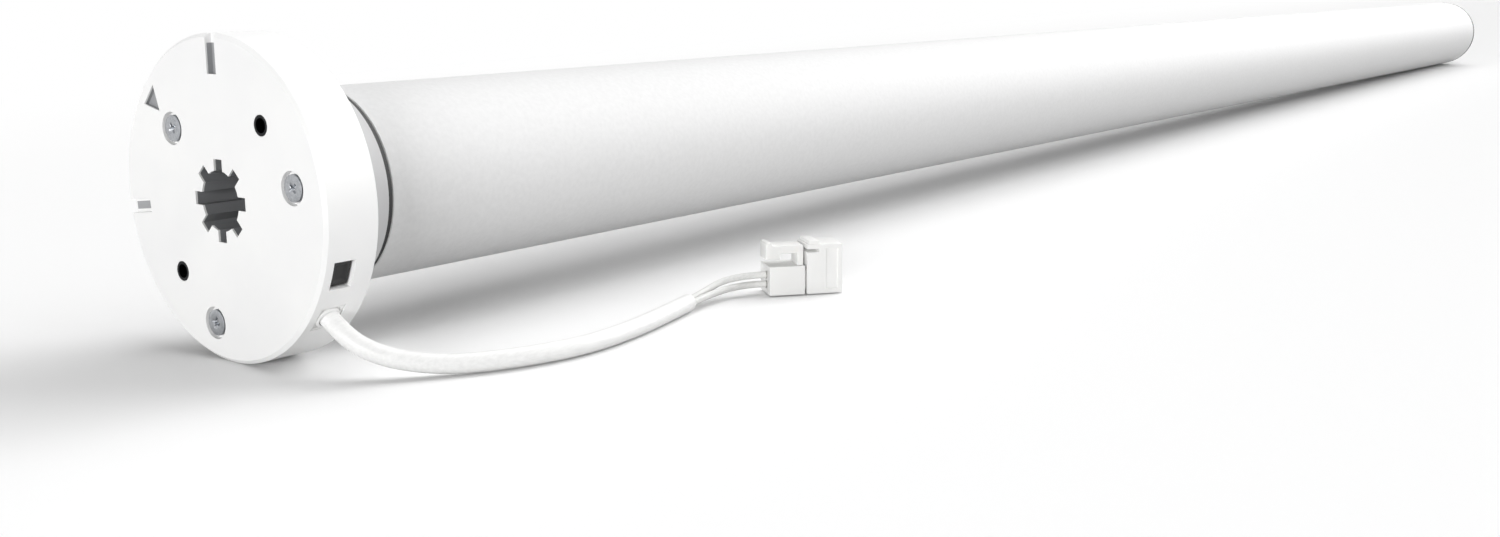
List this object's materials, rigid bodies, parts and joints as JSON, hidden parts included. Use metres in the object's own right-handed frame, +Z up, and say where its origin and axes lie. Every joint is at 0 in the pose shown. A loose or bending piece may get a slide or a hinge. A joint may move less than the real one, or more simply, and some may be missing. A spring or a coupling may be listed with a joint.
{
  "type": "tubular roller blind motor",
  "caption": "Slim white tubular motor with a round fixed head, star socket, free crown ring, geared output shaft and short plug-ended cable.",
  "frame": {"origin": "middle of the head's front face, where the wall bracket takes the motor", "axes": "+X along the motor's axis from the fixed head to the output shaft, +Z up as the motor lies on its head and cable"},
  "size_m": [0.672, 0.0653, 0.044],
  "materials": {
    "white_plastic": "smooth moulded ABS with a low sheen",
    "crown_plastic": "fine-grained moulded acetal",
    "grey_plastic": "fine-grained moulded nylon",
    "black_plastic": "matt moulded nylon",
    "gear_plastic": "natural acetal",
    "connector_plastic": "natural nylon, slightly translucent",
    "cable_white": "soft PVC jacket, satin",
    "wire_white": "soft PVC insulation, satin",
    "lead_insulation": "silicone insulation",
    "coated_aluminium": "white powder-coated aluminium, satin",
    "steel_screw": "zinc-plated steel",
    "bright_steel": "ground steel",
    "zinc_steel": "zinc-plated drawn steel",
    "lamination_steel": "stamped silicon-steel sheets",
    "blackened_steel": "black-oxide steel",
    "socket_plastic": "glass-filled nylon, mid grey",
    "bronze": "sintered bronze",
    "copper_wire": "enamelled copper",
    "tinned_contact": "tin-plated bronze",
    "ferrite": "sintered magnet, matt",
    "carbon": "pressed carbon",
    "circuit_board": "glass-epoxy board with solder mask",
    "cell_sleeve": "shrink sleeve over a steel can"
  },
  "bodies": {
    "housing": {"head_shell": "white_plastic", "head_base": "white_plastic", "head_screws": "steel_screw", "bracket_inserts": "blackened_steel", "button_switch": "black_plastic", "cable_grommet": "cable_white", "supply_leads": "lead_insulation", "power_cable": "cable_white", "connector_wires": "wire_white", "socket_insert": "socket_plastic", "crown_washer": "black_plastic", "connector_plug": "connector_plastic", "connector_collar": "connector_plastic", "connector_contacts": "tinned_contact", "motor_tube": "coated_aluminium", "tube_screws": "steel_screw", "end_cap": "grey_plastic", "board_tray": "black_plastic", "control_board": "circuit_board", "board_components": "black_plastic", "battery_cradle": "black_plastic", "battery_board": "circuit_board", "battery_cell_1": "cell_sleeve", "battery_cell_2": "cell_sleeve", "battery_cell_3": "cell_sleeve", "battery_cell_4": "cell_sleeve", "tube_leads": "lead_insulation", "motor_can": "zinc_steel", "motor_magnets": "ferrite", "motor_end_bell": "black_plastic", "motor_brushes": "carbon", "motor_bushes": "bronze", "motor_screws": "steel_screw", "encoder_board": "circuit_board", "gearbox_plate": "zinc_steel", "ring_gear": "gear_plastic", "brake_magnet": "ferrite", "output_bush": "bronze"},
    "rotor": {"rotor_shaft": "bright_steel", "rotor_core": "lamination_steel", "rotor_windings": "copper_wire", "commutator": "copper_wire", "encoder_magnet": "ferrite", "brake_rotor": "lamination_steel", "sun_gear": "bright_steel"},
    "carrier_1": {"planet_carrier_1": "bright_steel"},
    "carrier_2": {"planet_carrier_2": "bright_steel"},
    "output": {"output_shaft": "bright_steel", "output_clip": "bright_steel"},
    "crown": {"crown_ring": "crown_plastic"},
    "button": {"setting_button": "black_plastic"},
    "planet_1a": {"planet_gear_1a": "gear_plastic"},
    "planet_1b": {"planet_gear_1b": "gear_plastic"},
    "planet_1c": {"planet_gear_1c": "gear_plastic"},
    "planet_2a": {"planet_gear_2a": "bright_steel"},
    "planet_2b": {"planet_gear_2b": "bright_steel"},
    "planet_2c": {"planet_gear_2c": "bright_steel"},
    "planet_3a": {"planet_gear_3a": "bright_steel"},
    "planet_3b": {"planet_gear_3b": "bright_steel"},
    "planet_3c": {"planet_gear_3c": "bright_steel"}
  },
  "joints": [
    {"name": "rotor_spin", "type": "hinge", "parent": "housing", "child": "rotor", "pos_m": [0, 0, 0], "axis": [1, 0, 0], "continuous": true},
    {"name": "carrier_1_spin", "type": "hinge", "parent": "housing", "child": "carrier_1", "pos_m": [0, 0, 0], "axis": [1, 0, 0], "continuous": true},
    {"name": "carrier_2_spin", "type": "hinge", "parent": "housing", "child": "carrier_2", "pos_m": [0, 0, 0], "axis": [1, 0, 0], "continuous": true},
    {"name": "output_spin", "type": "hinge", "parent": "housing", "child": "output", "pos_m": [0, 0, 0], "axis": [1, 0, 0], "continuous": true},
    {"name": "crown_spin", "type": "hinge", "parent": "housing", "child": "crown", "pos_m": [0, 0, 0], "axis": [1, 0, 0], "continuous": true},
    {"name": "planet_1a_spin", "type": "hinge", "parent": "carrier_1", "child": "planet_1a", "pos_m": [0.5868, 0.00675, 0], "axis": [1, 0, 0], "continuous": true},
    {"name": "planet_1b_spin", "type": "hinge", "parent": "carrier_1", "child": "planet_1b", "pos_m": [0.5868, -0.00337, 0.00585], "axis": [1, 0, 0], "continuous": true},
    {"name": "planet_1c_spin", "type": "hinge", "parent": "carrier_1", "child": "planet_1c", "pos_m": [0.5868, -0.00337, -0.00585], "axis": [1, 0, 0], "continuous": true},
    {"name": "planet_2a_spin", "type": "hinge", "parent": "carrier_2", "child": "planet_2a", "pos_m": [0.5984, 0.00675, 0], "axis": [1, 0, 0], "continuous": true},
    {"name": "planet_2b_spin", "type": "hinge", "parent": "carrier_2", "child": "planet_2b", "pos_m": [0.5984, -0.00337, 0.00585], "axis": [1, 0, 0], "continuous": true},
    {"name": "planet_2c_spin", "type": "hinge", "parent": "carrier_2", "child": "planet_2c", "pos_m": [0.5984, -0.00337, -0.00585], "axis": [1, 0, 0], "continuous": true},
    {"name": "planet_3a_spin", "type": "hinge", "parent": "output", "child": "planet_3a", "pos_m": [0.6142, 0.00675, 0], "axis": [1, 0, 0], "continuous": true},
    {"name": "planet_3b_spin", "type": "hinge", "parent": "output", "child": "planet_3b", "pos_m": [0.6142, -0.00337, 0.00585], "axis": [1, 0, 0], "continuous": true},
    {"name": "planet_3c_spin", "type": "hinge", "parent": "output", "child": "planet_3c", "pos_m": [0.6142, -0.00337, -0.00585], "axis": [1, 0, 0], "continuous": true},
    {"name": "setting_button_press", "type": "slide", "parent": "housing", "child": "button", "axis": [0, 0.9311, 0.3649], "range_m": [0, 0.0004], "stiffness_N_per_m": 400}
  ],
  "couplings": [
    {"joint": "carrier_1_spin", "follows": "rotor_spin", "ratio": 0.22222},
    {"joint": "carrier_2_spin", "follows": "rotor_spin", "ratio": 0.049383},
    {"joint": "output_spin", "follows": "rotor_spin", "ratio": 0.010974},
    {"joint": "planet_1a_spin", "follows": "rotor_spin", "ratio": -0.62222},
    {"joint": "planet_1b_spin", "follows": "rotor_spin", "ratio": -0.62222},
    {"joint": "planet_1c_spin", "follows": "rotor_spin", "ratio": -0.62222},
    {"joint": "planet_2a_spin", "follows": "rotor_spin", "ratio": -0.13827},
    {"joint": "planet_2b_spin", "follows": "rotor_spin", "ratio": -0.13827},
    {"joint": "planet_2c_spin", "follows": "rotor_spin", "ratio": -0.13827},
    {"joint": "planet_3a_spin", "follows": "rotor_spin", "ratio": -0.030727},
    {"joint": "planet_3b_spin", "follows": "rotor_spin", "ratio": -0.030727},
    {"joint": "planet_3c_spin", "follows": "rotor_spin", "ratio": -0.030727}
  ]
}
